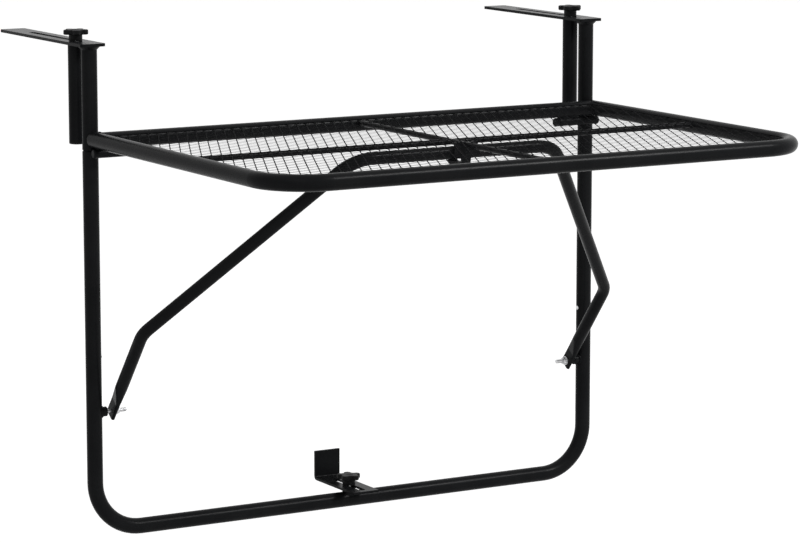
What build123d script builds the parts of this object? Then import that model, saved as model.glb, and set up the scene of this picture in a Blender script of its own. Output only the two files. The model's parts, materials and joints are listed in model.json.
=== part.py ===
from build123d import *
import os
from math import acos, ceil, cos, hypot, sin, sqrt

# A folding balcony table that hangs on a railing. A bent wall frame carries two slotted strips
# that lie on the railing, a mesh top on two barrel hinges, and a swinging brace that props the top.
# The origin is on the railing's top surface, midway between the strips, in the uprights' plane.
# X runs to the right, Y back to the railing and Z up. Sizes are in millimetres.

# Frame tubes
tube_d = 16.0
tube_wall = 1.2
edge_break = 1.0
curve_gap = 0.1

# Wall frame, from the strips' underside down to its bottom tube
frame_width = 600.0
frame_drop = 490.0
frame_corner_r = 50.0
post_length = 103.5
post_weld = 3.5
spigot_length = 60.0
spigot_wall = 1.5
plug_clear = 0.1
cap_edge = 1.2

# Slotted strips on the railing
strip_width = 27.0
strip_thick = 3.0
strip_length = 198.0
strip_front = 10.5
strip_corner_r = 2.0
slot_width = 6.6
slot_front = 24.0
slot_rear = 136.0

# Sliding hooks behind the railing
hook_y = 31.0
hook_length = 100.0
hook_cap_flange = 2.0
hook_cap_plug = 9.0
hook_insert = 16.0
slide_clear = 0.1

# Clamping knobs and their studs
knob_d = 25.6
knob_lobes = 5
knob_lobe_r = 4.0
knob_valley_r = 2.4
knob_head = 5.0
knob_edge = 1.2
knob_hub_d = 13.5
knob_hub = 6.0
knob_clear = 0.2
clamp_stud_d = 6.0
clamp_stud_in_knob = 7.0
clamp_stud_in_hook = 12.0
running_clear = 0.05

# Table top, as wide as the frame
table_depth = 400.0
table_drop = 92.0
table_corner_r = 50.0
rear_gap = 0.4
rim_cap_flange = 2.0
rim_cap_plug = 9.0
mesh_lift = 5.0
mesh_thick = 1.0
mesh_cell_x = 20.8
mesh_cell_y = 44.5
mesh_strand = 1.6
mesh_border = 4.0
mesh_least_gap = 12.0
rod_d = 6.0
cross_lead = 7.6

# Barrel hinges under the rear bar
knuckle_d = 9.0
knuckle_length = 22.8
knuckle_gap = 0.4
hinge_gap = 0.5
hinge_inset = 3.0
hinge_pin_d = 5.0
hinge_head = 3.2
hinge_head_d = 9.0
hinge_nut = 4.7
hinge_nut_af = 8.0
hinge_web = 9.0
hinge_web_height = 5.0
hinge_saddle = 6.0

# Swinging brace, measured in its own plane from the pivot axis
brace_d = 12.7
brace_wall = 1.2
brace_pivot_drop = 368.0
brace_leg_inset = 20.0
brace_leg = 114.5
brace_reach = 344.0
brace_shoulder = 158.5
bar_clear = 0.45
brace_knee_r = 27.0
brace_corner_r = 38.0
brace_drain_d = 4.0
tab_thick = 4.0
tab_width = 15.2
tab_below = 6.0
tab_above = 14.0
tab_blend = 20.0

# Brace pivots on the uprights
pivot_stud_d = 4.0
pivot_boss_d = 10.0
pivot_boss = 5.0
pivot_stud_in_frame = 3.5
pivot_stud_past = 7.9
stud_break = 0.6
pivot_gap = 0.3
pivot_washer = 0.8
pivot_washer_d = 9.4
pivot_nut = 3.2
pivot_nut_af = 7.0
pivot_collar = 1.0
pivot_collar_d = 6.2

# Blind rivets on the uprights' inner faces
rivet_drop = 311.0
rivet_d = 3.2
rivet_head_d = 4.6
rivet_head = 0.8
rivet_edge = 0.6
rivet_grip = 2.4

# Catch under the top that holds the brace's bar
catch_width = 26.0
catch_hook_width = 10.0
catch_thick = 2.5
catch_reach = 19.0
catch_depth = 11.2
catch_tongue = 24.5
catch_drop = 2.7
catch_bend_r = 5.0
catch_lip = 3.0
catch_lip_lean = 1.0
catch_lip_bend_r = 2.4

# Lower stop that leans on the railing's bars
stop_width = 29.5
stop_thick = 2.5
stop_front = 37.0
stop_rear = 49.0
stop_height = 31.0
stop_bend_r = 2.0
stop_slot_front = 28.0
stop_slot_rear = 28.0
stop_boss_d = 14.0
stop_boss = 4.5

# Places worked out from the sizes above
tube_r = tube_d / 2
tube_bore = tube_d - 2 * tube_wall
upright_x = (frame_width - tube_d) / 2
frame_top_z = -post_length
bottom_z = -frame_drop
side_x = upright_x
table_z = -table_drop
rear_y = -(tube_d + rear_gap)
rim_end_y = rear_y + tube_r
front_y = rim_end_y - table_depth + tube_r
mesh_z = table_z + mesh_lift
rod_z = mesh_z - mesh_thick / 2 - rod_d / 2
hinge_z = table_z - tube_r - hinge_gap - knuckle_d / 2
hinge_outer_x = frame_width / 2 - hinge_inset - hinge_head
hinge_split_x = hinge_outer_x - knuckle_length
hinge_inner_x = hinge_split_x - knuckle_gap - knuckle_length
pivot_z = -brace_pivot_drop
bar_z = rod_z - rod_d / 2 - bar_clear - brace_d / 2
brace_lean = acos((bar_z - pivot_z) / brace_reach)
bar_y = -brace_reach * sin(brace_lean)
cross_y = bar_y + cross_lead
brace_leg_x = upright_x - brace_leg_inset
brace_top_half = brace_leg_x - brace_shoulder
boss_end_x = upright_x - tube_r - pivot_boss
washer_base_x = brace_leg_x - tab_thick / 2 - pivot_gap
nut_base_x = washer_base_x - pivot_washer
stud_end_x = nut_base_x - pivot_nut - pivot_collar - pivot_stud_past
stop_seat_z = bottom_z + tube_r + stop_boss
stop_low_z = stop_seat_z + slide_clear


def rod_x(d, x0, x1, y, z):
    """A round rod along X."""
    return Pos((x0 + x1) / 2, y, z) * Rot(0, 90, 0) * Cylinder(d / 2, abs(x1 - x0))


def rod_y(d, y0, y1, x, z):
    """A round rod along Y."""
    return Pos(x, (y0 + y1) / 2, z) * Rot(90, 0, 0) * Cylinder(d / 2, abs(y1 - y0))


def rod_z_axis(d, z0, z1, x, y):
    """A round rod along Z."""
    return Pos(x, y, (z0 + z1) / 2) * Cylinder(d / 2, abs(z1 - z0))


def block(x0, x1, y0, y1, z0, z1):
    """A box between two corners."""
    return Pos((x0 + x1) / 2, (y0 + y1) / 2, (z0 + z1) / 2) * Box(x1 - x0, y1 - y0, z1 - z0)


def section_at(path):
    """The plane that starts a sweep, square to the path."""
    return Plane(origin=path @ 0, z_dir=path % 0)


def bent_tube(points, bend_r, d, wall):
    """A round tube bent along a polyline with equal bends."""
    path = FilletPolyline(*points, radius=bend_r)
    return sweep(section_at(path) * (Circle(d / 2) - Circle(d / 2 - wall)), path=path)


def outer_ring(solid, axis, last):
    """The outer edge of a tube's end, on the chosen side along an axis."""
    rings = solid.edges().filter_by(GeomType.CIRCLE).group_by(axis)[-1 if last else 0]
    return rings.group_by(SortBy.RADIUS)[-1]


def mirrored(solid):
    """The left-hand copy of a right-hand piece."""
    return mirror(solid, about=Plane.YZ)


def plug(d, flange, bore_d, depth):
    """A domed end plug with its flange on Z = 0 and its stem along +Z."""
    flange_solid = Pos(0, 0, -flange / 2) * Cylinder(d / 2, flange)
    rim = flange_solid.edges().filter_by(GeomType.CIRCLE).group_by(Axis.Z)[0]
    return fillet(rim, cap_edge) + Pos(0, 0, depth / 2) * Cylinder(bore_d / 2, depth)


def wall_frame():
    """The U-shaped tube that hangs below the posts, with holes for studs and rivets."""
    points = [
        (-upright_x, 0, frame_top_z),
        (-upright_x, 0, bottom_z),
        (upright_x, 0, bottom_z),
        (upright_x, 0, frame_top_z),
    ]
    frame = bent_tube(points, frame_corner_r, tube_d, tube_wall)
    frame = chamfer(outer_ring(frame, Axis.Z, True), edge_break)
    for side in (-1, 1):
        inner = side * (upright_x - tube_d)
        frame -= rod_x(pivot_stud_d + 2 * running_clear, inner, side * upright_x, 0, pivot_z)
        frame -= rod_x(rivet_d + 2 * running_clear, inner, side * upright_x, 0, -rivet_drop)
    return frame


def rail_post():
    """The short tube above the frame, with the weld that joins it to its strip."""
    tube = rod_z_axis(tube_d, frame_top_z, 0, upright_x, 0)
    tube -= rod_z_axis(tube_bore, frame_top_z, 0, upright_x, 0)
    tube = chamfer(outer_ring(tube, Axis.Z, False), edge_break)
    weld = Polyline((tube_r - edge_break / 2, 0), (tube_r + post_weld, 0), (tube_r, -post_weld))
    bead = make_face(Plane.XZ * (weld + Line(weld @ 1, weld @ 0)))
    return tube + Pos(upright_x, 0, 0) * revolve(bead, Axis.Z)


def post_spigot():
    """The sleeve inside the joint of frame and post."""
    d = tube_bore - 2 * plug_clear
    low = frame_top_z - spigot_length / 2
    high = frame_top_z + spigot_length / 2
    sleeve = rod_z_axis(d, low, high, upright_x, 0)
    return sleeve - rod_z_axis(d - 2 * spigot_wall, low, high, upright_x, 0)


def rail_strip():
    """The slotted strip that lies on the railing."""
    outline = RectangleRounded(strip_width, strip_length, strip_corner_r)
    slot_long = slot_rear - slot_front + slot_width
    slot = Pos(0, (slot_rear + slot_front) / 2) * Rot(0, 0, 90) * SlotOverall(slot_long, slot_width)
    face = Pos(0, strip_length / 2 - strip_front) * outline - slot
    return Pos(upright_x, 0, 0) * extrude(face, strip_thick)


def hook_post():
    """The tube behind the railing, below its strip."""
    low = -hook_length + hook_cap_flange
    tube = rod_z_axis(tube_d, low, -slide_clear, upright_x, hook_y)
    return tube - rod_z_axis(tube_bore, low, -slide_clear, upright_x, hook_y)


def hook_insert_plug():
    """The threaded insert in the hook's upper end."""
    top = -slide_clear
    body = rod_z_axis(tube_bore - 2 * plug_clear, top - hook_insert, top, upright_x, hook_y)
    return body - rod_z_axis(clamp_stud_d + 2 * running_clear, top - hook_insert, top, upright_x, hook_y)


def hook_cap():
    """The plug in the hook's lower end."""
    cap = plug(tube_d, hook_cap_flange, tube_bore - 2 * plug_clear, hook_cap_plug)
    return Pos(upright_x, hook_y, -hook_length + hook_cap_flange) * cap


def knob_outline():
    """A lobed outline with rounded valleys."""
    lobe = Circle(knob_lobe_r)
    outline = Circle(knob_d / 2 - knob_lobe_r)
    for place in PolarLocations(knob_d / 2 - knob_lobe_r, knob_lobes):
        outline += place * lobe
    return fillet(outline.vertices(), knob_valley_r)


def knob(bore_depth, bore_d):
    """A clamping knob with its hub on Z = 0 and a blind bore from below."""
    head = Pos(0, 0, knob_hub) * extrude(knob_outline(), knob_head)
    rims = head.edges().filter_by(Plane.XY).group_by(Axis.Z)
    head = fillet(rims[-1] + rims[0], knob_edge)
    hub = Pos(0, 0, (knob_hub + knob_head / 2) / 2) * Cylinder(knob_hub_d / 2, knob_hub + knob_head / 2)
    return head + hub - Pos(0, 0, bore_depth / 2) * Cylinder(bore_d / 2, bore_depth)


def hook_knob():
    """The knob above the strip that clamps the hook."""
    body = knob(clamp_stud_in_knob, clamp_stud_d)
    return Pos(upright_x, hook_y, strip_thick + knob_clear) * body


def hook_stud():
    """The knob's stud, down through the slot into the hook's insert."""
    high = strip_thick + knob_clear + clamp_stud_in_knob
    low = -slide_clear - clamp_stud_in_hook
    return rod_z_axis(clamp_stud_d, low, high, upright_x, hook_y)


def rim_points():
    """The rim's corners, from its left rear end round the front."""
    end_y = rim_end_y - rim_cap_flange
    return [
        (-side_x, end_y, table_z),
        (-side_x, front_y, table_z),
        (side_x, front_y, table_z),
        (side_x, end_y, table_z),
    ]


def table_rim():
    """The bent tube round the sides and the front of the top."""
    return bent_tube(rim_points(), table_corner_r, tube_d, tube_wall)


def rim_cap():
    """The plug in a rear end of the rim."""
    cap = plug(tube_d, rim_cap_flange, tube_bore - 2 * plug_clear, rim_cap_plug)
    return Pos(side_x, rim_end_y - rim_cap_flange, table_z) * Rot(90, 0, 0) * cap


def side_cutters(d):
    """Both side tubes without bores, for coping what butts against them."""
    return rod_y(d, front_y, rim_end_y, -side_x, table_z) + rod_y(d, front_y, rim_end_y, side_x, table_z)


def table_rear_bar():
    """The tube between the rim's rear ends, coped to them."""
    bar = rod_x(tube_d, -side_x, side_x, rear_y, table_z) - rod_x(tube_bore, -side_x, side_x, rear_y, table_z)
    return bar - side_cutters(tube_d)


def rounded_front(width, depth, corner):
    """A rectangle whose two front corners are round."""
    square_rear = Pos(0, depth / 4) * Rectangle(width, depth / 2)
    return RectangleRounded(width, depth, corner) + square_rear


def mesh_gap():
    """One diamond gap of the mesh, a strand's width smaller than its cell."""
    half_x = mesh_cell_x / 2
    half_y = mesh_cell_y / 2
    across = half_x * half_y / hypot(half_x, half_y)
    share = 1 - mesh_strand / 2 / across
    x = half_x * share
    y = half_y * share
    return make_face(Polyline((x, 0), (0, y), (-x, 0), (0, -y), close=True))


def mesh_panel():
    """The expanded steel mesh, a sheet with staggered diamond gaps inside a plain border."""
    drop_to_face = mesh_lift - mesh_thick / 2
    inset = sqrt(tube_r**2 - drop_to_face**2) + curve_gap
    width = 2 * (side_x - inset)
    back = rear_y - inset
    front = front_y + inset
    depth = back - front
    corner = table_corner_r - inset
    face = rounded_front(width, depth, corner)
    inner = rounded_front(width - 2 * mesh_border, depth - 2 * mesh_border, corner - mesh_border)
    columns = 2 * ceil(width / 2 / mesh_cell_x) + 1
    rows = 2 * ceil(depth / 2 / mesh_cell_y) + 1
    places = list(GridLocations(mesh_cell_x, mesh_cell_y, columns, rows))
    places += list(GridLocations(mesh_cell_x, mesh_cell_y, columns + 1, rows + 1))
    gap = mesh_gap()
    gaps = []
    for place in places:
        cut = (place * gap) & inner
        if cut and cut.area > mesh_least_gap:
            gaps.append(cut)
    sheet = extrude(face - gaps, mesh_thick)
    return Pos(0, (back + front) / 2, mesh_z - mesh_thick / 2) * sheet


def cross_bar():
    """The rod across the top's middle, under the mesh."""
    return rod_x(rod_d, -side_x, side_x, cross_y, rod_z) - side_cutters(tube_d)


def centre_bars():
    """The two rods from the cross bar to the rear bar and to the front tube."""
    rear_rod = rod_y(rod_d, rear_y, cross_y, 0, rod_z) - rod_x(tube_d, -side_x, side_x, rear_y, table_z)
    front_rod = rod_y(rod_d, cross_y, front_y, 0, rod_z) - rod_x(tube_d, -side_x, side_x, front_y, table_z)
    cross = rod_x(rod_d, -side_x, side_x, cross_y, rod_z)
    return Compound(children=[rear_rod - cross, front_rod - cross])


def catch_hook():
    """The bent catch: a plate across the centre rod and a tongue that passes under the brace's bar."""
    plate_y = bar_y - catch_reach
    floor_z = bar_z - catch_depth + catch_thick / 2
    lip_y = plate_y + catch_tongue
    line = FilletPolyline(
        (plate_y, bar_z),
        (plate_y, floor_z),
        (lip_y, floor_z),
        (lip_y + catch_lip_lean, floor_z + catch_lip),
        radius=[catch_bend_r, catch_lip_bend_r],
    )
    tongue_face = make_face(offset(line, catch_thick / 2, side=Side.BOTH))
    tongue = extrude(Plane.YZ * tongue_face, catch_hook_width / 2, both=True)
    top = mesh_z - mesh_thick / 2 - curve_gap
    half = catch_width / 2
    low = bar_z - catch_drop
    plate = block(-half, half, plate_y - catch_thick / 2, plate_y + catch_thick / 2, low, top)
    return plate + tongue - rod_y(rod_d, front_y, cross_y, 0, rod_z)


def frame_knuckle():
    """The outer barrel of a hinge, with the web that welds it to the upright."""
    barrel = rod_x(knuckle_d, hinge_split_x, hinge_outer_x, rear_y, hinge_z)
    low = hinge_z - knuckle_d / 2
    web = block(hinge_outer_x - hinge_web, hinge_outer_x, rear_y, 0, low, low + hinge_web_height)
    web -= rod_z_axis(tube_d, bottom_z, 0, upright_x, 0)
    bore = rod_x(hinge_pin_d + 2 * running_clear, hinge_split_x, hinge_outer_x, rear_y, hinge_z)
    return barrel + web - bore


def table_knuckle():
    """The inner barrel of a hinge, with the saddle that welds it to the rear bar."""
    end_x = hinge_split_x - knuckle_gap
    barrel = rod_x(knuckle_d, hinge_inner_x, end_x, rear_y, hinge_z)
    half = hinge_saddle / 2
    saddle = block(hinge_inner_x, end_x, rear_y - half, rear_y + half, hinge_z, table_z)
    saddle -= rod_x(tube_d, hinge_inner_x, end_x, rear_y, table_z)
    bore = rod_x(hinge_pin_d + 2 * running_clear, hinge_inner_x, end_x, rear_y, hinge_z)
    return barrel + saddle - bore


def hinge_pin():
    """The pin through both barrels, with a flat head at its outer end."""
    shank = rod_x(hinge_pin_d, hinge_inner_x - knuckle_gap - hinge_nut, hinge_outer_x, rear_y, hinge_z)
    head = rod_x(hinge_head_d, hinge_outer_x, hinge_outer_x + hinge_head, rear_y, hinge_z)
    rim = head.edges().filter_by(GeomType.CIRCLE).group_by(Axis.X)[-1]
    return shank + fillet(rim, hinge_head / 2)


def hinge_nut_ring():
    """The hexagon nut on the pin's inner end."""
    hexagon = RegularPolygon(hinge_nut_af / 2, 6, major_radius=False) - Circle(hinge_pin_d / 2)
    start = hinge_inner_x - knuckle_gap - hinge_nut
    return Pos(start, rear_y, hinge_z) * Rot(0, 90, 0) * extrude(hexagon, hinge_nut)


def brace_plane(x, along):
    """A plane square to the brace's legs, its own X across the brace's plane."""
    direction = Vector(0, -sin(brace_lean), cos(brace_lean))
    origin = Vector(x, 0, pivot_z) + direction * along
    return Plane(origin=origin, x_dir=(0, cos(brace_lean), sin(brace_lean)), z_dir=direction)


def brace_end(side):
    """The flattened, square-cut end of a leg, with its pivot hole."""
    x = side * brace_leg_x
    flat = SlotOverall(tab_width, tab_thick)
    round_ = SlotOverall(brace_d - curve_gap, brace_d - 2 * curve_gap)
    tab = extrude(brace_plane(x, -tab_below) * flat, tab_below + tab_above)
    blend = loft([
        brace_plane(x, tab_above) * flat,
        brace_plane(x, tab_above + tab_blend) * round_,
    ])
    hole = rod_x(pivot_stud_d + 2 * running_clear, x - tab_thick, x + tab_thick, 0, pivot_z)
    return tab + blend - hole


def brace_path():
    """The bow's corners in its own plane, from leg to leg."""
    start = tab_above + tab_blend
    return FilletPolyline(
        (-brace_leg_x, start),
        (-brace_leg_x, brace_leg),
        (-brace_top_half, brace_reach),
        (brace_top_half, brace_reach),
        (brace_leg_x, brace_leg),
        (brace_leg_x, start),
        radius=[brace_knee_r, brace_corner_r, brace_corner_r, brace_knee_r],
    )


def brace_bow():
    """The bent prop with two flattened ends and a drain hole under its top bar."""
    plane = Plane(
        origin=(0, 0, pivot_z),
        x_dir=(1, 0, 0),
        z_dir=(0, -cos(brace_lean), -sin(brace_lean)),
    )
    path = plane * brace_path()
    bow = sweep(section_at(path) * Circle(brace_d / 2), path=path)
    for side in (-1, 1):
        bow += brace_end(side)
    bow -= sweep(section_at(path) * Circle(brace_d / 2 - brace_wall), path=path)
    drain = brace_plane(0, brace_reach - brace_d) * Circle(brace_drain_d / 2)
    return bow - extrude(drain, brace_d)


def pivot_boss_ring():
    """The collar welded on an upright's inner face."""
    ring = rod_x(pivot_boss_d, boss_end_x, upright_x, 0, pivot_z)
    ring -= rod_x(pivot_stud_d, boss_end_x, upright_x, 0, pivot_z)
    return ring - rod_z_axis(tube_d, bottom_z, 0, upright_x, 0)


def pivot_stud():
    """The stud through the collar, the brace's tab and the lock nut."""
    stud = rod_x(pivot_stud_d, stud_end_x, upright_x - tube_r + pivot_stud_in_frame, 0, pivot_z)
    return chamfer(stud.edges().filter_by(GeomType.CIRCLE).group_by(Axis.X)[0], stud_break)


def pivot_washer_ring():
    """The washer between the tab and the lock nut."""
    ring = rod_x(pivot_washer_d, nut_base_x, washer_base_x, 0, pivot_z)
    return ring - rod_x(pivot_stud_d + 2 * running_clear, nut_base_x, washer_base_x, 0, pivot_z)


def pivot_lock_nut():
    """The hexagon lock nut with its round collar, on the washer."""
    height = pivot_nut + pivot_collar
    hexagon = RegularPolygon(pivot_nut_af / 2, 6, major_radius=False)
    body = extrude(hexagon, pivot_nut)
    body += Pos(0, 0, pivot_nut + pivot_collar / 2) * Cylinder(pivot_collar_d / 2, pivot_collar)
    body -= Pos(0, 0, height / 2) * Cylinder(pivot_stud_d / 2, height)
    return Pos(nut_base_x, 0, pivot_z) * Rot(0, -90, 0) * body


def frame_rivet():
    """A blind rivet with a low domed head on an upright's inner face."""
    face_x = upright_x - tube_r
    head = rod_x(rivet_head_d, face_x - rivet_head, upright_x, 0, -rivet_drop)
    rim = head.edges().filter_by(GeomType.CIRCLE).group_by(Axis.X)[0]
    head = fillet(rim, rivet_edge) - rod_z_axis(tube_d, bottom_z, 0, upright_x, 0)
    return head + rod_x(rivet_d, face_x, face_x + rivet_grip, 0, -rivet_drop)


def lower_stop_boss():
    """The round seat welded on top of the bottom tube."""
    seat = rod_z_axis(stop_boss_d, bottom_z, stop_seat_z, 0, 0)
    seat -= rod_x(tube_d, -stop_boss_d, stop_boss_d, 0, bottom_z)
    return seat - rod_z_axis(clamp_stud_d, bottom_z, stop_seat_z, 0, 0)


def lower_stop_stud():
    """The stud that stands on the bottom tube, through the bracket into the knob."""
    high = stop_low_z + stop_thick + knob_clear + clamp_stud_in_knob
    return rod_z_axis(clamp_stud_d, bottom_z + tube_r, high, 0, 0)


def lower_stop_bracket():
    """The bent bracket: a slotted leg under the knob and an upright plate behind."""
    middle_z = stop_low_z + stop_thick / 2
    line = FilletPolyline(
        (-stop_front, middle_z),
        (stop_rear - stop_thick / 2, middle_z),
        (stop_rear - stop_thick / 2, stop_low_z + stop_height),
        radius=stop_bend_r + stop_thick / 2,
    )
    face = make_face(offset(line, stop_thick / 2, side=Side.BOTH))
    half = stop_width / 2
    bracket = extrude(Plane.YZ * face, half, both=True)
    bracket &= block(-half, half, -stop_front, stop_rear, stop_low_z, stop_low_z + stop_height)
    slot_long = stop_slot_rear + stop_slot_front + slot_width
    slot = Pos(0, (stop_slot_rear - stop_slot_front) / 2) * Rot(0, 0, 90) * SlotOverall(slot_long, slot_width)
    return bracket - Pos(0, 0, middle_z) * extrude(slot, stop_thick, both=True)


def lower_stop_knob():
    """The knob that clamps the lower stop, turning on its stud."""
    body = knob(clamp_stud_in_knob + knob_clear, clamp_stud_d + 2 * running_clear)
    return Pos(0, 0, stop_low_z + stop_thick + knob_clear) * body


def rivets():
    """Both rivets as one group."""
    one = frame_rivet()
    return Compound(children=[one, mirrored(one)])


# Pieces on the middle line
nodes = {
    "wall_frame": wall_frame(),
    "frame_rivets": rivets(),
    "lower_stop_boss": lower_stop_boss(),
    "lower_stop_stud": lower_stop_stud(),
    "lower_stop_bracket": lower_stop_bracket(),
    "lower_stop_knob": lower_stop_knob(),
    "table_rim": table_rim(),
    "table_rear_bar": table_rear_bar(),
    "mesh_panel": mesh_panel(),
    "cross_bar": cross_bar(),
    "centre_bars": centre_bars(),
    "catch_hook": catch_hook(),
    "brace_bow": brace_bow(),
}

# Pieces that come in pairs, made on the right and mirrored to the left
pairs = {
    "rail_post": rail_post(),
    "post_spigot": post_spigot(),
    "rail_strip": rail_strip(),
    "hook_post": hook_post(),
    "hook_insert": hook_insert_plug(),
    "hook_cap": hook_cap(),
    "hook_knob": hook_knob(),
    "hook_stud": hook_stud(),
    "frame_knuckle": frame_knuckle(),
    "table_knuckle": table_knuckle(),
    "hinge_pin": hinge_pin(),
    "hinge_nut": hinge_nut_ring(),
    "rim_cap": rim_cap(),
    "pivot_boss": pivot_boss_ring(),
    "pivot_stud": pivot_stud(),
    "pivot_washer": pivot_washer_ring(),
    "pivot_nut": pivot_lock_nut(),
}
for name, piece in pairs.items():
    nodes["right_" + name] = piece
    nodes["left_" + name] = mirrored(piece)

os.makedirs("parts", exist_ok=True)
for name, piece in nodes.items():
    export_step(piece, "parts/" + name + ".step")
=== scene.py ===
import json
from math import ceil, cos, pi, radians, sin, sqrt

import bmesh
import bpy
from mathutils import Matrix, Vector


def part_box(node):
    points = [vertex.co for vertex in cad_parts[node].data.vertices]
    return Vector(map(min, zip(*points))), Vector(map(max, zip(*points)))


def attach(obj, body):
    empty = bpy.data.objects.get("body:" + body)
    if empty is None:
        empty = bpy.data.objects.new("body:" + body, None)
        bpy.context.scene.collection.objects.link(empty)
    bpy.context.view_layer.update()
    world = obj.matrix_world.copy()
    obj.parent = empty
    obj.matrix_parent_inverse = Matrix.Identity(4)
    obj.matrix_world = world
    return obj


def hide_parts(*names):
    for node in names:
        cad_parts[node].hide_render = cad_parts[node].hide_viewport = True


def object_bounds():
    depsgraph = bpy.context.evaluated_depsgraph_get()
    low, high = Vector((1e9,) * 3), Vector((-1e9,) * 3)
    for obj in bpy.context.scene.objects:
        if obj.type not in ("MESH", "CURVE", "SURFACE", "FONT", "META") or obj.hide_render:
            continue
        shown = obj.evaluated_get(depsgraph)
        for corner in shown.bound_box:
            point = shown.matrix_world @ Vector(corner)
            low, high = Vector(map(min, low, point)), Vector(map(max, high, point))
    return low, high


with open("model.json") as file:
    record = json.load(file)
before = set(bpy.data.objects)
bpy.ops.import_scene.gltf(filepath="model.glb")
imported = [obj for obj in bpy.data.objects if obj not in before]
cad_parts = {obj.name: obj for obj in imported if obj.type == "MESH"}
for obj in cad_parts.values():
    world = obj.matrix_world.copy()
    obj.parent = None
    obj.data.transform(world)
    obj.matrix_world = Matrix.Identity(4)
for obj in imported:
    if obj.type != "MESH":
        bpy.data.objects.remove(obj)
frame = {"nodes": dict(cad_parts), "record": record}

cad_low, cad_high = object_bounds()

# Camera at the photograph's angle: metres, degrees and millimetres of lens
camera_place = Vector((-1.6795, -3.0091, 0.3071))
camera_yaw = 30.06
camera_pitch = 9.158
level_tilt = 90.0
camera_lens = 151.1
camera_sensor = 36.0
camera_far = 200.0

# Floor, sky and lamps; the floor's glow fades towards the pool of light below the lamps
floor_drop = 0.30
floor_size = 60.0
floor_colour = (0.94, 0.94, 0.94, 1)
floor_rough = 0.9
floor_glow = 0.58
pool_centre = (0.5, -1.0)
pool_near = 0.4
pool_far = 3.0
sky_colour = (1, 1, 1, 1)
sky_seen = 1.0
sky_light = 0.42
lamps = {
    "key": {"place": Vector((1.7, -2.0, 2.1)), "size": 0.7, "power": 80.0},
    "fill": {"place": Vector((-1.6, -1.9, 1.9)), "size": 1.6, "power": 6.0},
}

# Expanded mesh: diamonds that are longer from front to rear than across
cell_width = 0.0104
cell_length = 0.02225
strand_width = 0.0009
strand_thick = 0.00027
bond_width = 0.0015
bond_length = 0.0034
bond_thick = 0.00058
edge_strip = 0.0008
rim_bend_r = 0.050
clip_step = 0.0002
corner_steps = 10

# Weld beads
bead_r = 0.0015
bead_ripple = 0.0022
bead_sides = 8
bead_swell = 0.18
rear_seam_share = 0.96
saddle_seam_share = 1 / 3

# Threads on the pivot studs
thread_pitch = 0.0007
thread_depth = 0.0002
thread_lead_in = 0.8
thread_run_out = 1
thread_flank = 0.42
thread_steps = 16

# Low domes on the knobs
dome_share = 0.2
dome_sink = 0.0003
dome_height = 0.0008
dome_rings = 5
dome_steps = 28

# Round faces of the CAD nodes are shaded smooth up to this angle
smooth_angle = radians(32)

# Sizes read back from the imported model
frame_low, frame_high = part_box("wall_frame")
rim_low, rim_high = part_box("table_rim")
bar_low, bar_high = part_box("table_rear_bar")
mesh_low, mesh_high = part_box("mesh_panel")
cross_low, cross_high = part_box("cross_bar")
stud_low, stud_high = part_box("right_pivot_stud")
boss_low, boss_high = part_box("right_pivot_boss")
nut_low, nut_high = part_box("right_pivot_nut")
saddle_low, saddle_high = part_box("right_table_knuckle")

tube_r = (frame_high.y - frame_low.y) / 2
rim_r = (rim_high.z - rim_low.z) / 2
rim_z = (rim_low.z + rim_high.z) / 2
side_x = rim_high.x - rim_r
upright_x = frame_high.x - tube_r
rear_y = (bar_low.y + bar_high.y) / 2
mesh_z = (mesh_low.z + mesh_high.z) / 2
rod_r = (cross_high.z - cross_low.z) / 2
cross_y = (cross_low.y + cross_high.y) / 2
rod_z = (cross_low.z + cross_high.z) / 2
mesh_corner_r = rim_bend_r - (side_x - mesh_high.x)


def new_material(name):
    """An empty node material, its shader, node tree and object coordinates."""
    mat = bpy.data.materials.new(name)
    mat.use_nodes = True
    nodes, links = mat.node_tree.nodes, mat.node_tree.links
    shader = nodes["Principled BSDF"]
    coords = nodes.new("ShaderNodeTexCoord").outputs["Object"]
    return mat, shader, nodes, links, coords


def noise(nodes, links, coords, scale, detail, rough=0.5):
    """A noise texture on the object's own coordinates, in cells per metre."""
    node = nodes.new("ShaderNodeTexNoise")
    node.inputs["Scale"].default_value = scale
    node.inputs["Detail"].default_value = detail
    node.inputs["Roughness"].default_value = rough
    links.new(coords, node.inputs["Vector"])
    return node.outputs["Fac"]


def ramp(nodes, links, fac, dark, light, low=0.3, high=0.7):
    """Two colours along a value, between two stops."""
    node = nodes.new("ShaderNodeValToRGB")
    node.color_ramp.elements[0].position = low
    node.color_ramp.elements[1].position = high
    node.color_ramp.elements[0].color = (*dark, 1)
    node.color_ramp.elements[1].color = (*light, 1)
    links.new(fac, node.inputs["Fac"])
    return node.outputs["Color"]


def spread(nodes, links, fac, low, high, start=0, end=1):
    """A value between start and end mapped to a range."""
    node = nodes.new("ShaderNodeMapRange")
    node.inputs["From Min"].default_value = start
    node.inputs["From Max"].default_value = end
    node.inputs["To Min"].default_value = low
    node.inputs["To Max"].default_value = high
    links.new(fac, node.inputs["Value"])
    return node.outputs["Result"]


def bump(nodes, links, shader, height, distance):
    """Small relief from a height value, in metres."""
    node = nodes.new("ShaderNodeBump")
    node.inputs["Distance"].default_value = distance
    links.new(height, node.inputs["Height"])
    links.new(node.outputs["Normal"], shader.inputs["Normal"])


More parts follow.
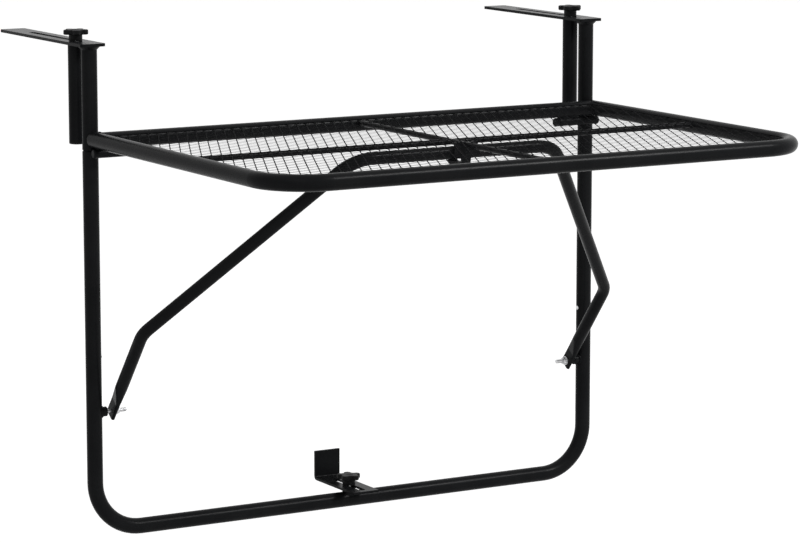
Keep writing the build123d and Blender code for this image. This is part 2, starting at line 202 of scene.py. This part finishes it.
def powder_coat(name, dark, light, rough, grain, gloss):
    """Satin powder coat: fine orange peel, faint clouding and uneven gloss."""
    mat, shader, nodes, links, coords = new_material(name)
    cloud = noise(nodes, links, coords, scale=26, detail=4, rough=0.6)
    links.new(ramp(nodes, links, cloud, dark, light), shader.inputs["Base Color"])
    patch = noise(nodes, links, coords, scale=140, detail=3)
    links.new(spread(nodes, links, patch, *rough), shader.inputs["Roughness"])
    shader.inputs["Specular IOR Level"].default_value = gloss
    peel = noise(nodes, links, coords, scale=1500, detail=2)
    bump(nodes, links, shader, peel, grain)
    return mat


def zinc(dark, light, rough, grain):
    """Bright zinc plating: a metal with fine streaks and dull patches."""
    mat, shader, nodes, links, coords = new_material("zinc_plating")
    shader.inputs["Metallic"].default_value = 1.0
    cloud = noise(nodes, links, coords, scale=420, detail=5, rough=0.65)
    links.new(ramp(nodes, links, cloud, dark, light), shader.inputs["Base Color"])
    patch = noise(nodes, links, coords, scale=900, detail=3)
    links.new(spread(nodes, links, patch, *rough), shader.inputs["Roughness"])
    streak = noise(nodes, links, coords, scale=3200, detail=2)
    bump(nodes, links, shader, streak, grain)
    return mat


def plastic(dark, light, rough, grain, gloss):
    """Moulded black plastic with a fine spark-eroded grain."""
    mat, shader, nodes, links, coords = new_material("moulded_plastic")
    cloud = noise(nodes, links, coords, scale=90, detail=3)
    links.new(ramp(nodes, links, cloud, dark, light), shader.inputs["Base Color"])
    patch = noise(nodes, links, coords, scale=700, detail=3)
    links.new(spread(nodes, links, patch, *rough), shader.inputs["Roughness"])
    shader.inputs["Specular IOR Level"].default_value = gloss
    erosion = noise(nodes, links, coords, scale=2600, detail=3)
    bump(nodes, links, shader, erosion, grain)
    return mat


materials = {
    "powder_coat": powder_coat(
        "satin_powder_coat",
        dark=(0.0066, 0.0069, 0.0075),
        light=(0.0100, 0.0104, 0.0111),
        rough=(0.22, 0.32),
        grain=0.00003,
        gloss=0.035,
    ),
    "coated_mesh": powder_coat(
        "coated_mesh_wire",
        dark=(0.0036, 0.0038, 0.0042),
        light=(0.0060, 0.0063, 0.0069),
        rough=(0.50, 0.62),
        grain=0.00002,
        gloss=0.006,
    ),
    "zinc": zinc(
        dark=(0.44, 0.44, 0.45),
        light=(0.72, 0.725, 0.73),
        rough=(0.26, 0.44),
        grain=0.00002,
    ),
    "black_plastic": plastic(
        dark=(0.0030, 0.0031, 0.0034),
        light=(0.0058, 0.0060, 0.0064),
        rough=(0.40, 0.54),
        grain=0.00005,
        gloss=0.10,
    ),
}


def dress_cad():
    """Gives each CAD node the material of its slot and smooth round faces."""
    for part in frame["record"]["subparts"]:
        node = frame["nodes"][part["node"]]
        node.data.materials.clear()
        node.data.materials.append(materials[part["material_slot"]])
        node.data.polygons.foreach_set("use_smooth", [True] * len(node.data.polygons))
        node.data.set_sharp_from_angle(angle=smooth_angle)


def add_piece(name, mesh, body, slot):
    """A new piece in the row frame, riding on a body."""
    piece = bpy.data.objects.new(name, mesh)
    bpy.context.scene.collection.objects.link(piece)
    mesh.materials.append(materials[slot])
    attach(piece, body)
    return piece


def finish_mesh(name, bm, smooth=True):
    """A mesh from a bmesh, with outward faces."""
    bmesh.ops.recalc_face_normals(bm, faces=bm.faces)
    mesh = bpy.data.meshes.new(name)
    bm.to_mesh(mesh)
    bm.free()
    if smooth:
        mesh.polygons.foreach_set("use_smooth", [True] * len(mesh.polygons))
    return mesh


def add_prism(bm, low_ring, high_ring):
    """A closed prism between two rings of points."""
    low = [bm.verts.new(point) for point in low_ring]
    high = [bm.verts.new(point) for point in high_ring]
    count = len(low)
    for i in range(count):
        j = (i + 1) % count
        bm.faces.new((low[i], low[j], high[j], high[i]))
    bm.faces.new(low[::-1])
    bm.faces.new(high)


def add_bar(bm, start, end, width, thick):
    """A flat bar between two points of one height, its width level."""
    along = (end - start).normalized()
    side = Vector((0, 0, 1)).cross(along) * (width / 2)
    up = Vector((0, 0, thick / 2))
    section = (-side - up, side - up, side + up, -side + up)
    add_prism(bm, [start + corner for corner in section], [end + corner for corner in section])


def add_bond(bm, centre):
    """The flat diamond where two strands of the mesh meet."""
    up = Vector((0, 0, bond_thick / 2))
    across = Vector((bond_width / 2, 0, 0))
    along = Vector((0, bond_length / 2, 0))
    ring = [centre + across, centre + along, centre - across, centre - along]
    add_prism(bm, [point - up for point in ring], [point + up for point in ring])


def mesh_edge_x(y):
    """Half the mesh's width at a depth, less in the round front corners."""
    arc_y = mesh_low.y + mesh_corner_r
    if y >= arc_y:
        return mesh_high.x
    return mesh_high.x - mesh_corner_r + sqrt(max(mesh_corner_r**2 - (arc_y - y) ** 2, 0))


def strand_ends(rear_x, lean):
    """The first and last points of a slanting strand inside the mesh's outline."""
    depth = mesh_high.y - mesh_low.y
    count = ceil(depth / clip_step)
    points = []
    for i in range(count + 1):
        forward = depth * i / count
        x = rear_x + lean * forward
        y = mesh_high.y - forward
        if abs(x) <= mesh_edge_x(y):
            points.append(Vector((x, y, mesh_z)))
    return points[:1] + points[-1:]


def add_strands(bm):
    """Both sets of straight strands, one just above the other."""
    depth = mesh_high.y - mesh_low.y
    slope = cell_width / cell_length
    count = ceil((mesh_high.x + slope * depth) / cell_width)
    for lean, level in ((slope, 1), (-slope, -1)):
        lift = Vector((0, 0, level * strand_thick / 2))
        for i in range(-count, count + 1):
            ends = strand_ends(i * cell_width, lean)
            if ends and (ends[1] - ends[0]).length > strand_width:
                add_bar(bm, ends[0] + lift, ends[1] + lift, strand_width, strand_thick)


def add_bonds(bm):
    """A bond at each crossing of the strands, every other row half a cell along."""
    row_pitch = cell_length / 2
    rows = ceil((mesh_high.y - mesh_low.y) / row_pitch)
    columns = ceil(mesh_high.x / cell_width)
    for row in range(1, rows):
        y = mesh_high.y - row * row_pitch
        shift = row % 2 / 2
        for column in range(-columns, columns + 1):
            x = (column + shift) * cell_width
            if abs(x) < mesh_edge_x(y) - bond_width and y - bond_length / 2 > mesh_low.y:
                add_bond(bm, Vector((x, y, mesh_z)))


def add_edge(bm):
    """The thin strip round the mesh, where it meets the tubes."""
    arc_x = mesh_high.x - mesh_corner_r
    arc_y = mesh_low.y + mesh_corner_r
    outline = [Vector((mesh_high.x, mesh_high.y, mesh_z))]
    for i in range(corner_steps + 1):
        turn = pi / 2 * i / corner_steps
        x = arc_x + mesh_corner_r * cos(turn)
        y = arc_y - mesh_corner_r * sin(turn)
        outline.append(Vector((x, y, mesh_z)))
    outline += [Vector((-point.x, point.y, point.z)) for point in reversed(outline)]
    for start, end in zip(outline, outline[1:] + outline[:1]):
        add_bar(bm, start, end, edge_strip, bond_thick)


def fine_mesh():
    """The expanded steel mesh at its real fineness, in place of the CAD sheet."""
    bm = bmesh.new()
    add_strands(bm)
    add_bonds(bm)
    add_edge(bm)
    piece = add_piece("fine_mesh", finish_mesh("fine_mesh", bm, False), "table", "coated_mesh")
    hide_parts("mesh_panel")


def add_bead(bm, points, closed):
    """A rippled weld bead along points."""
    rings = []
    count = len(points)
    for i, point in enumerate(points):
        before = points[i - 1] if closed or i else point
        after = points[(i + 1) % count] if closed or i < count - 1 else point
        along = (after - before).normalized()
        across = along.orthogonal().normalized()
        third = along.cross(across)
        radius = bead_r * (1 - bead_swell * (i % 2))
        ring = []
        for k in range(bead_sides):
            turn = 2 * pi * k / bead_sides
            ring.append(bm.verts.new(point + (across * cos(turn) + third * sin(turn)) * radius))
        rings.append(ring)
    pairs = list(zip(rings, rings[1:]))
    if closed:
        pairs.append((rings[-1], rings[0]))
    else:
        bm.faces.new(rings[0][::-1])
        bm.faces.new(rings[-1])
    for ring, following in pairs:
        shift = min(range(bead_sides), key=lambda s: (ring[0].co - following[s].co).length)
        for k in range(bead_sides):
            a, b = ring[k], ring[(k + 1) % bead_sides]
            c = following[(k + 1 + shift) % bead_sides]
            d = following[(k + shift) % bead_sides]
            bm.faces.new((a, b, c, d))


def straight_seam(start, end):
    """Points a ripple apart along a straight seam."""
    count = ceil((end - start).length / bead_ripple)
    return [start.lerp(end, i / count) for i in range(count + 1)]


def cope_seam(side, y, z, bar_r):
    """The seam where a bar along X butts against a side tube of the rim."""
    count = ceil(2 * pi * bar_r / bead_ripple)
    points = []
    for i in range(count):
        turn = 2 * pi * i / count
        height = z + bar_r * sin(turn) - rim_z
        reach = sqrt(max(rim_r**2 - height**2, 0))
        points.append(Vector((side * (side_x - reach), y + bar_r * cos(turn), rim_z + height)))
    return points


def boss_seam(side):
    """The seam round a pivot collar on an upright."""
    radius = (boss_high.z - boss_low.z) / 2
    middle = (boss_high.z + boss_low.z) / 2
    count = ceil(2 * pi * radius / bead_ripple)
    points = []
    for i in range(count):
        turn = 2 * pi * i / count
        y = radius * cos(turn)
        x = side * (upright_x - sqrt(tube_r**2 - y**2))
        points.append(Vector((x, y, middle + radius * sin(turn))))
    return points


def saddle_seams(side):
    """The seams along both edges of a hinge saddle under the rear bar."""
    half = (saddle_high.y - saddle_low.y) * saddle_seam_share
    z = rim_z - sqrt(rim_r**2 - half**2)
    low_x = saddle_low.x + bead_r
    high_x = saddle_high.x - bead_r
    seams = []
    for y in (rear_y - half, rear_y + half):
        seams.append(straight_seam(Vector((side * low_x, y, z)), Vector((side * high_x, y, z))))
    return seams


def welds():
    """Beads at the rear bar, the cross bar, the hinge saddles and the pivot collars."""
    on_table = bmesh.new()
    on_frame = bmesh.new()
    for side in (-1, 1):
        add_bead(on_table, cope_seam(side, rear_y, rim_z, rim_r * rear_seam_share), True)
        add_bead(on_table, cope_seam(side, cross_y, rod_z, rod_r), True)
        for seam in saddle_seams(side):
            add_bead(on_table, seam, False)
        add_bead(on_frame, boss_seam(side), True)
    add_piece("table_welds", finish_mesh("table_welds", on_table), "table", "powder_coat")
    add_piece("frame_welds", finish_mesh("frame_welds", on_frame), "frame", "powder_coat")


def stud_thread(side, name):
    """The thread on the free end of a pivot stud."""
    stud_r = (stud_high.z - stud_low.z) / 2
    z = (stud_high.z + stud_low.z) / 2
    turns = int((nut_low.x - stud_low.x) / thread_pitch - thread_run_out)
    flank = Vector((thread_pitch * thread_flank, 0, 0))
    bm = bmesh.new()
    rows = []
    for i in range(turns * thread_steps + 1):
        turn = 2 * pi * i / thread_steps
        out = Vector((0, cos(turn), sin(turn)))
        centre = Vector((stud_low.x + thread_pitch * (thread_lead_in + i / thread_steps), 0, z))
        root = centre + out * (stud_r - thread_depth)
        crest = centre + out * (stud_r + thread_depth)
        row = (root - flank, crest, root + flank)
        rows.append([bm.verts.new((side * point.x, point.y, point.z)) for point in row])
    corners = len(rows[0])
    for a, b in zip(rows, rows[1:]):
        for k in range(corners):
            j = (k + 1) % corners
            bm.faces.new((a[k], a[j], b[j], b[k]))
    bm.faces.new(rows[0])
    bm.faces.new(rows[-1][::-1])
    add_piece(name, finish_mesh(name, bm, False), "frame", "zinc")


def knob_dome(node, body):
    """A low dome in the middle of a knob."""
    low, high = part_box(node)
    centre = (low + high) / 2
    radius = (high.x - low.x) * dome_share
    bm = bmesh.new()
    levels = []
    for i in range(dome_rings):
        rise = pi / 2 * i / dome_rings
        z = high.z - dome_sink + dome_height * sin(rise)
        level = []
        for k in range(dome_steps):
            turn = 2 * pi * k / dome_steps
            x = centre.x + radius * cos(rise) * cos(turn)
            y = centre.y + radius * cos(rise) * sin(turn)
            level.append(bm.verts.new((x, y, z)))
        levels.append(level)
    for a, b in zip(levels, levels[1:]):
        for k in range(dome_steps):
            j = (k + 1) % dome_steps
            bm.faces.new((a[k], a[j], b[j], b[k]))
    bm.faces.new(levels[-1])
    bm.faces.new(levels[0][::-1])
    add_piece(node + "_dome", finish_mesh(node + "_dome", bm), body, "black_plastic")


def seen_share(nodes, links):
    """One for rays from the camera, reflections and glass, and nothing for the rest."""
    path = nodes.new("ShaderNodeLightPath")
    mirror = nodes.new("ShaderNodeMath")
    mirror.operation = "MAXIMUM"
    links.new(path.outputs["Is Glossy Ray"], mirror.inputs[0])
    links.new(path.outputs["Is Transmission Ray"], mirror.inputs[1])
    seen = nodes.new("ShaderNodeMath")
    seen.operation = "MAXIMUM"
    links.new(path.outputs["Is Camera Ray"], seen.inputs[0])
    links.new(mirror.outputs[0], seen.inputs[1])
    return seen.outputs[0]


def pale_floor():
    """A wide white floor, which glows away from the lamps and keeps the table's shadow."""
    half = floor_size / 2
    z = cad_low.z - floor_drop
    corners = [(-half, -half, z), (half, -half, z), (half, half, z), (-half, half, z)]
    mesh = bpy.data.meshes.new("floor")
    mesh.from_pydata(corners, [], [(0, 1, 2, 3)])
    floor = bpy.data.objects.new("floor", mesh)
    bpy.context.scene.collection.objects.link(floor)
    mat, shader, nodes, links, coords = new_material("pale_floor")
    shader.inputs["Base Color"].default_value = floor_colour
    shader.inputs["Roughness"].default_value = floor_rough
    away = nodes.new("ShaderNodeVectorMath")
    away.operation = "DISTANCE"
    away.inputs[1].default_value = (*pool_centre, z)
    links.new(coords, away.inputs[0])
    share = nodes.new("ShaderNodeMath")
    share.operation = "MULTIPLY"
    fade = spread(nodes, links, away.outputs["Value"], 0, floor_glow, pool_near, pool_far)
    links.new(fade, share.inputs[0])
    links.new(seen_share(nodes, links), share.inputs[1])
    glow = nodes.new("ShaderNodeEmission")
    links.new(share.outputs[0], glow.inputs["Strength"])
    both = nodes.new("ShaderNodeAddShader")
    links.new(shader.outputs["BSDF"], both.inputs[0])
    links.new(glow.outputs["Emission"], both.inputs[1])
    links.new(both.outputs["Shader"], nodes["Material Output"].inputs["Surface"])
    mesh.materials.append(mat)


def even_sky():
    """A white world that is seen at full strength and lights the table a little less."""
    world = bpy.data.worlds.new("studio_sky")
    bpy.context.scene.world = world
    world.use_nodes = True
    nodes, links = world.node_tree.nodes, world.node_tree.links
    background = nodes["Background"]
    background.inputs["Color"].default_value = sky_colour
    strength = spread(nodes, links, seen_share(nodes, links), low=sky_light, high=sky_seen)
    links.new(strength, background.inputs["Strength"])


def soft_lamps():
    """Two soft lamps that face the table's middle."""
    target = (cad_low + cad_high) / 2
    for name, facts in lamps.items():
        lamp = bpy.data.lights.new(name, "AREA")
        lamp.size = facts["size"]
        lamp.energy = facts["power"]
        light = bpy.data.objects.new(name, lamp)
        light.location = facts["place"]
        light.rotation_euler = (target - facts["place"]).to_track_quat("-Z", "Y").to_euler()
        bpy.context.scene.collection.objects.link(light)


def camera():
    """The camera at the photograph's viewing angle."""
    data = bpy.data.cameras.new("camera")
    data.lens = camera_lens
    data.sensor_width = camera_sensor
    data.clip_end = camera_far
    eye = bpy.data.objects.new("camera", data)
    eye.location = camera_place
    eye.rotation_euler = (radians(level_tilt - camera_pitch), 0, -radians(camera_yaw))
    bpy.context.scene.collection.objects.link(eye)
    bpy.context.scene.camera = eye


dress_cad()
fine_mesh()
welds()
stud_thread(-1, "left_stud_thread")
stud_thread(1, "right_stud_thread")
knob_dome("left_hook_knob", "left_knob")
knob_dome("right_hook_knob", "right_knob")
knob_dome("lower_stop_knob", "lower_knob")
pale_floor()
even_sky()
soft_lamps()
camera()
bpy.context.scene.view_settings.view_transform = "Standard"
